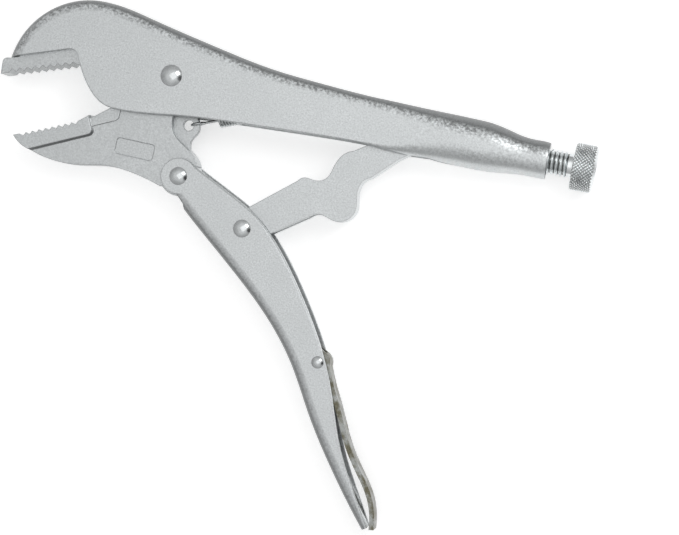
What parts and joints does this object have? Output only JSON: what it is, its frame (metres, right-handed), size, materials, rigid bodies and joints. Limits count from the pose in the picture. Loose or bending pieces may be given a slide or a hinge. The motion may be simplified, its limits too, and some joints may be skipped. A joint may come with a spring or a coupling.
{
  "type": "locking pliers",
  "caption": "Straight-jaw locking pliers with serrated jaws, over-centre toggle link, adjusting screw with knurled knob, release lever and return spring.",
  "frame": {"origin": "middle of the underside of the tool lying flat, half open as built", "axes": "+X along the adjusting screw towards the knob, +Y away from the lower handle, +Z along the pivots, up from the surface the tool lies on"},
  "size_m": [0.254, 0.1952, 0.0203],
  "materials": {
    "plated_sheet": "satin nickel plate over folded sheet steel",
    "plated_forging": "satin nickel plate over forged steel",
    "plated_strip": "satin nickel plate over strip steel",
    "bright_screw": "bright nickel plate over turned and knurled steel",
    "spring_wire": "bright drawn spring wire",
    "polished_rivet": "polished nickel plated rivet head"
  },
  "bodies": {
    "frame": {"fixed_handle": "plated_sheet", "fixed_jaw": "plated_forging", "jaw_pivot_rivet": "polished_rivet", "return_spring": "spring_wire"},
    "jaw": {"movable_jaw": "plated_forging"},
    "handle": {"lower_handle": "plated_sheet", "handle_pivot_rivet": "polished_rivet", "link_pivot_rivet": "polished_rivet", "release_lever_rivet": "polished_rivet"},
    "link": {"toggle_link": "plated_sheet"},
    "lever": {"release_lever": "plated_strip"},
    "screw": {"adjusting_screw": "bright_screw"},
    "knob": {"adjusting_knob": "bright_screw"}
  },
  "joints": [
    {"name": "jaw_pivot", "type": "hinge", "parent": "frame", "child": "jaw", "pos_m": [-0.05344, 0.07195, 0.01015], "axis": [0, 0, 1], "range_deg": [-20.52, 1.4], "deforming": ["return_spring"]},
    {"name": "handle_pivot", "type": "hinge", "parent": "jaw", "child": "handle", "pos_m": [-0.04254, 0.03135, 0.01015], "axis": [0, 0, 1], "range_deg": [-4, 62.6]},
    {"name": "link_pivot", "type": "hinge", "parent": "handle", "child": "link", "pos_m": [-0.01164, 0.01495, 0.01015], "axis": [0, 0, 1], "range_deg": [-60.68, 3.97]},
    {"name": "release_lever_pivot", "type": "hinge", "parent": "handle", "child": "lever", "pos_m": [0.03046, -0.03325, 0.01015], "axis": [0, 0, 1], "range_deg": [-0.3, 5]},
    {"name": "screw_travel", "type": "slide", "parent": "frame", "child": "screw", "axis": [1, 0, 0], "range_m": [0, 0.012]},
    {"name": "knob_turn", "type": "hinge", "parent": "screw", "child": "knob", "pos_m": [0.12156, 0.06665, 0.01015], "axis": [1, 0, 0], "range_deg": [-1, 2382.1]}
  ],
  "couplings": [
    {"joint": "jaw_pivot", "follows": "handle_pivot", "ratio": -0.3262},
    {"joint": "link_pivot", "follows": "handle_pivot", "ratio": -0.9678},
    {"joint": "knob_turn", "follows": "screw_travel", "rad_per_m": 3463.2}
  ]
}
